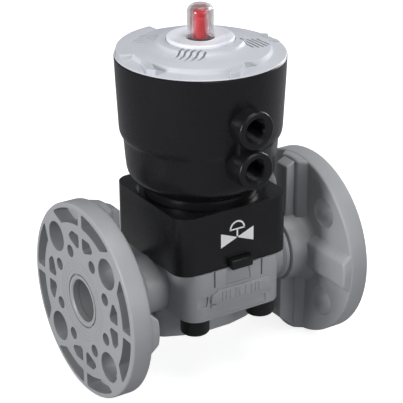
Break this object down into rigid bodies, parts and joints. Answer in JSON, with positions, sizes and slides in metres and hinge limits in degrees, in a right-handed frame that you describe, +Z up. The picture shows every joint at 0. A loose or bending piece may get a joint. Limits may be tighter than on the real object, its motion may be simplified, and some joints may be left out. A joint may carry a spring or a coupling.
{
  "type": "diaphragm valve",
  "caption": "Air-operated weir diaphragm valve in grey and black plastic, with round end flanges, a cylindrical actuator and a red rising position indicator.",
  "frame": {"origin": "under the stem axis, at the height of the flanges' lowest point", "axes": "+X along the pipe towards the outlet flange, -Y towards the air ports, +Z up the stem"},
  "size_m": [0.16, 0.115, 0.2195],
  "materials": {
    "valve_body": "satin moulded plastic",
    "inlet_flange": "satin moulded plastic",
    "outlet_flange": "satin moulded plastic",
    "keel_inserts": "plain",
    "body_bolts": "plain",
    "bolt_washers": "plain",
    "bonnet_nuts": "plain",
    "bolt_caps": "satin",
    "diaphragm": "matt",
    "compressor": "satin",
    "stem_pin": "plain",
    "stem": "ground",
    "bonnet": "satin moulded, glass filled",
    "lock_clip": "satin",
    "actuator_housing": "satin moulded, glass filled",
    "retaining_ring": "plain",
    "stem_bush": "plain",
    "stem_seal": "matt",
    "spring_seat": "plain",
    "outer_spring": "oiled spring steel",
    "inner_spring": "oiled spring steel",
    "piston": "satin",
    "piston_seal": "matt",
    "piston_washer": "plain",
    "piston_nut": "plain",
    "lid": "satin moulded",
    "centre_disc": "satin to gloss",
    "dome_seat": "matt",
    "dome": "clear plastic, polished",
    "indicator_pin": "gloss"
  },
  "bodies": {
    "valve": {"valve_body": "valve_body", "inlet_flange": "inlet_flange", "outlet_flange": "outlet_flange", "keel_insert_1": "keel_inserts", "keel_insert_2": "keel_inserts", "body_bolt_1": "body_bolts", "body_bolt_2": "body_bolts", "body_bolt_3": "body_bolts", "body_bolt_4": "body_bolts", "bolt_washer_1": "bolt_washers", "bolt_washer_2": "bolt_washers", "bolt_washer_3": "bolt_washers", "bolt_washer_4": "bolt_washers", "bonnet_nut_1": "bonnet_nuts", "bonnet_nut_2": "bonnet_nuts", "bonnet_nut_3": "bonnet_nuts", "bonnet_nut_4": "bonnet_nuts", "bolt_cap_1": "bolt_caps", "bolt_cap_2": "bolt_caps", "bolt_cap_3": "bolt_caps", "bolt_cap_4": "bolt_caps", "diaphragm": "diaphragm", "bonnet": "bonnet", "lock_clip": "lock_clip", "actuator_housing": "actuator_housing", "retaining_ring": "retaining_ring", "stem_bush": "stem_bush", "stem_seal": "stem_seal", "spring_seat": "spring_seat", "outer_spring": "outer_spring", "inner_spring": "inner_spring", "lid": "lid", "centre_disc": "centre_disc", "dome_seat": "dome_seat", "dome": "dome"},
    "stem_group": {"compressor": "compressor", "stem_pin": "stem_pin", "stem": "stem", "piston": "piston", "piston_seal": "piston_seal", "piston_washer": "piston_washer", "piston_nut": "piston_nut", "indicator_pin": "indicator_pin"}
  },
  "joints": [
    {"name": "stem_slide", "type": "slide", "parent": "valve", "child": "stem_group", "axis": [0, 0, 1], "range_m": [-0.013, 0], "stiffness_N_per_m": 2500, "springref_m": 0.01, "deforming": ["outer_spring", "inner_spring", "diaphragm"]}
  ]
}
